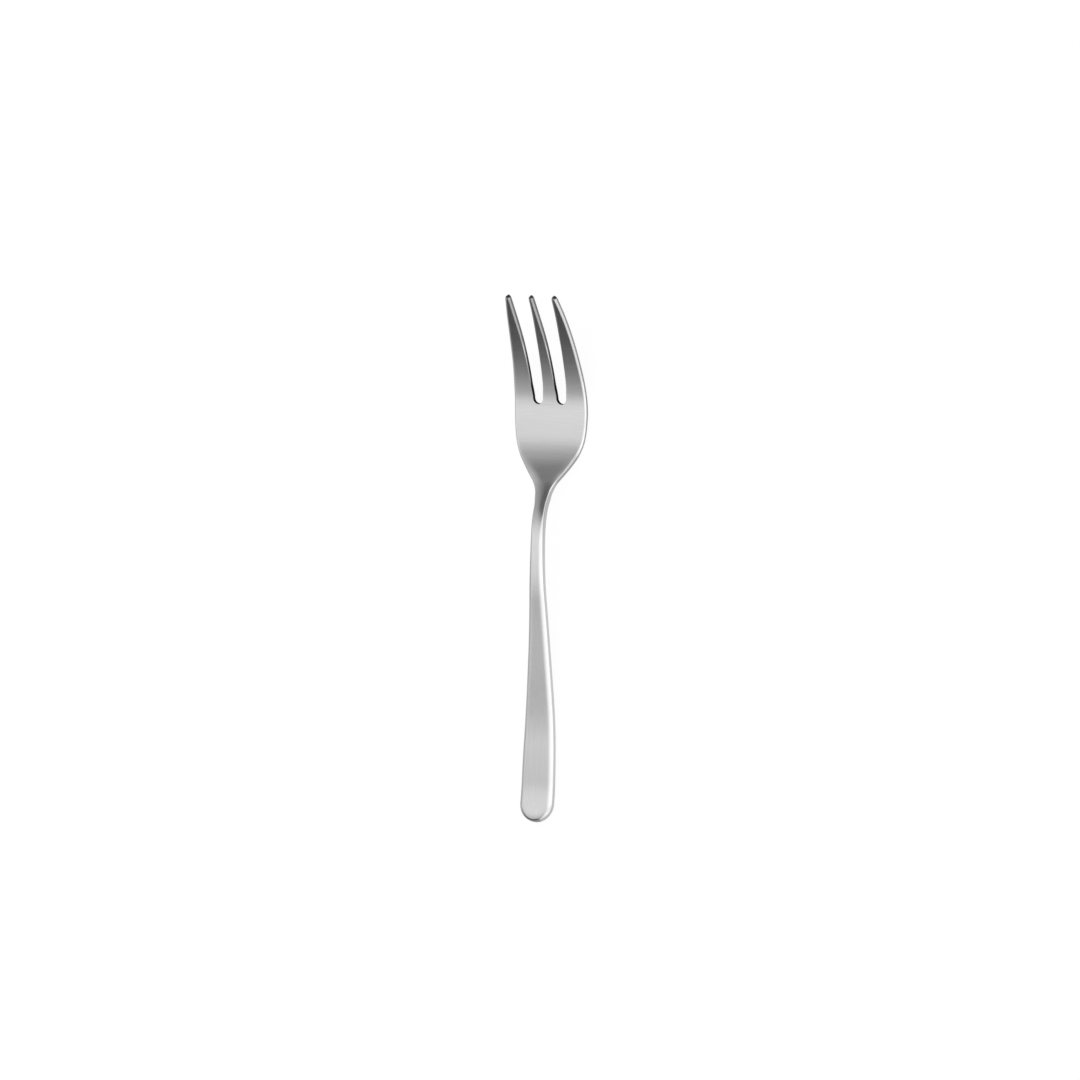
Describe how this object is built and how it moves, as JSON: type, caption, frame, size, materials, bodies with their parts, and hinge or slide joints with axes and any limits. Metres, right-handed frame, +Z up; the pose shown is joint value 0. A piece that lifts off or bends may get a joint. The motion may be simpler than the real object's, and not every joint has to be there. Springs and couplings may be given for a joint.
{
  "type": "pastry fork",
  "caption": "One-piece stainless steel pastry fork with slender upswept tines, a shallow bowl, an arched narrow neck and a rounded handle that lies flat on the table.",
  "frame": {"origin": "middle of the fork's length and width, on the table that it lies on", "axes": "+X to the fork's right, +Y from the handle towards the tips of the tines, +Z up out of the table"},
  "size_m": [0.0232, 0.15, 0.0163],
  "materials": {
    "satin_steel": "fine satin brushing, lengthwise on the handle and across the head, edges polished round"
  },
  "bodies": {
    "root": {"fork": "satin_steel"}
  },
  "joints": []
}
